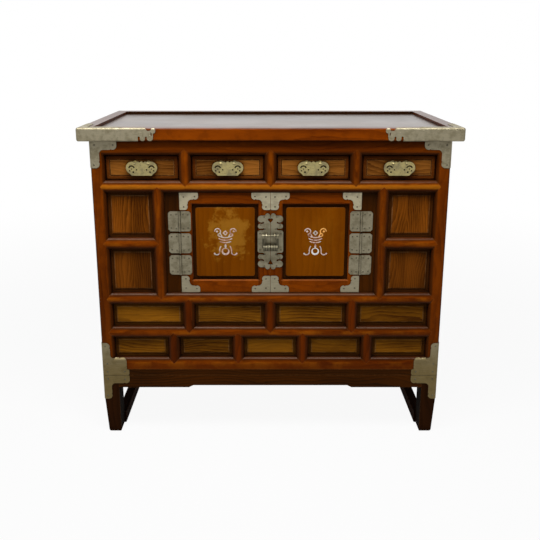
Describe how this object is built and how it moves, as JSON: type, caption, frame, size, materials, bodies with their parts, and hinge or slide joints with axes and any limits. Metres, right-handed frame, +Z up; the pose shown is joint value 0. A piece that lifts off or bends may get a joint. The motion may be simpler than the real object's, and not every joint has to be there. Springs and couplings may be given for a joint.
{
  "type": "korean chest on stand",
  "caption": "Low Korean chest on an open stand, with drawers over a pair of doors, half-round framing and nickel-brass fittings.",
  "frame": {"origin": "on the floor under the middle of the chest's overall box", "axes": "+X to the right seen from the front, +Y to the back, +Z up; the doors face -Y"},
  "size_m": [0.956, 0.478, 0.838],
  "materials": {
    "frame_wood": "oiled and lacquered, semi-gloss",
    "dark_wood": "oiled and lacquered, semi-gloss",
    "panel_wood": "strong elm grain, oiled and lacquered, semi-gloss",
    "drawer_wood": "strong elm grain, oiled and lacquered, semi-gloss",
    "door_panel_wood": "plain mustard brown lacquer, worn",
    "inner_wood": "bare, matt",
    "top_wood": "dark, glossy",
    "nickel_brass": "dull grey-green nickel brass, satin",
    "shell": "mother of pearl, polished"
  },
  "bodies": {
    "root": {"front_posts": "frame_wood", "back_posts": "frame_wood", "top_rail": "frame_wood", "middle_rails": "frame_wood", "bottom_rail": "frame_wood", "wing_rails": "frame_wood", "drawer_stiles": "frame_wood", "door_opening_stiles": "frame_wood", "row_stiles": "frame_wood", "hinge_stiles": "dark_wood", "wing_panels": "panel_wood", "row_panels": "panel_wood", "side_rails": "frame_wood", "side_panels": "panel_wood", "back_rails": "inner_wood", "back_panels": "inner_wood", "drawer_deck": "inner_wood", "base_frame": "dark_wood", "bottom_board": "inner_wood", "top_frame": "frame_wood", "top_boards": "top_wood", "top_corner_plates": "nickel_brass", "body_corner_plates": "nickel_brass", "fixed_hinge_leaves": "nickel_brass", "hinge_pins": "nickel_brass", "stand_legs": "dark_wood", "stand_runners": "dark_wood", "stand_aprons": "dark_wood", "stand_corner_plates": "nickel_brass"},
    "left_door": {"left_door_frame": "frame_wood", "left_door_panel": "door_panel_wood", "left_door_inlay": "shell", "left_door_corner_plates": "nickel_brass", "left_lock_plate": "nickel_brass", "left_hinge_leaves": "nickel_brass"},
    "right_door": {"right_door_frame": "frame_wood", "right_door_panel": "door_panel_wood", "right_door_inlay": "shell", "right_door_corner_plates": "nickel_brass", "right_lock_plate": "nickel_brass", "right_hinge_leaves": "nickel_brass"},
    "padlock_bolt": {"padlock_bolt_half": "nickel_brass"},
    "padlock_case": {"padlock_case_half": "nickel_brass"},
    "drawer_1": {"drawer_1_front": "drawer_wood", "drawer_1_box": "inner_wood", "drawer_1_pull_posts": "nickel_brass"},
    "pull_1": {"drawer_1_pull": "nickel_brass"},
    "drawer_2": {"drawer_2_front": "drawer_wood", "drawer_2_box": "inner_wood", "drawer_2_pull_posts": "nickel_brass"},
    "pull_2": {"drawer_2_pull": "nickel_brass"},
    "drawer_3": {"drawer_3_front": "drawer_wood", "drawer_3_box": "inner_wood", "drawer_3_pull_posts": "nickel_brass"},
    "pull_3": {"drawer_3_pull": "nickel_brass"},
    "drawer_4": {"drawer_4_front": "drawer_wood", "drawer_4_box": "inner_wood", "drawer_4_pull_posts": "nickel_brass"},
    "pull_4": {"drawer_4_pull": "nickel_brass"}
  },
  "joints": [
    {"name": "left_door_hinge", "type": "hinge", "parent": "root", "child": "left_door", "pos_m": [-0.233, -0.2139, 0.537], "axis": [0, 0, -1], "range_deg": [0, 150]},
    {"name": "right_door_hinge", "type": "hinge", "parent": "root", "child": "right_door", "pos_m": [0.233, -0.2139, 0.537], "axis": [0, 0, 1], "range_deg": [0, 150]},
    {"name": "padlock_swing", "type": "hinge", "parent": "right_door", "child": "padlock_case", "pos_m": [0.011, -0.226, 0.56], "axis": [-1, 0, 0], "range_deg": [0, 60]},
    {"name": "padlock_bolt_swing", "type": "hinge", "parent": "left_door", "child": "padlock_bolt", "pos_m": [-0.011, -0.226, 0.56], "axis": [-1, 0, 0], "range_deg": [0, 60]},
    {"name": "drawer_1_slide", "type": "slide", "parent": "root", "child": "drawer_1", "axis": [0, -1, 0], "range_m": [0, 0.27]},
    {"name": "pull_1_swing", "type": "hinge", "parent": "drawer_1", "child": "pull_1", "pos_m": [-0.3235, -0.2165, 0.746], "axis": [-1, 0, 0], "range_deg": [0, 80]},
    {"name": "drawer_2_slide", "type": "slide", "parent": "root", "child": "drawer_2", "axis": [0, -1, 0], "range_m": [0, 0.27]},
    {"name": "pull_2_swing", "type": "hinge", "parent": "drawer_2", "child": "pull_2", "pos_m": [-0.1075, -0.2165, 0.746], "axis": [-1, 0, 0], "range_deg": [0, 80]},
    {"name": "drawer_3_slide", "type": "slide", "parent": "root", "child": "drawer_3", "axis": [0, -1, 0], "range_m": [0, 0.27]},
    {"name": "pull_3_swing", "type": "hinge", "parent": "drawer_3", "child": "pull_3", "pos_m": [0.1075, -0.2165, 0.746], "axis": [-1, 0, 0], "range_deg": [0, 80]},
    {"name": "drawer_4_slide", "type": "slide", "parent": "root", "child": "drawer_4", "axis": [0, -1, 0], "range_m": [0, 0.27]},
    {"name": "pull_4_swing", "type": "hinge", "parent": "drawer_4", "child": "pull_4", "pos_m": [0.3235, -0.2165, 0.746], "axis": [-1, 0, 0], "range_deg": [0, 80]}
  ]
}
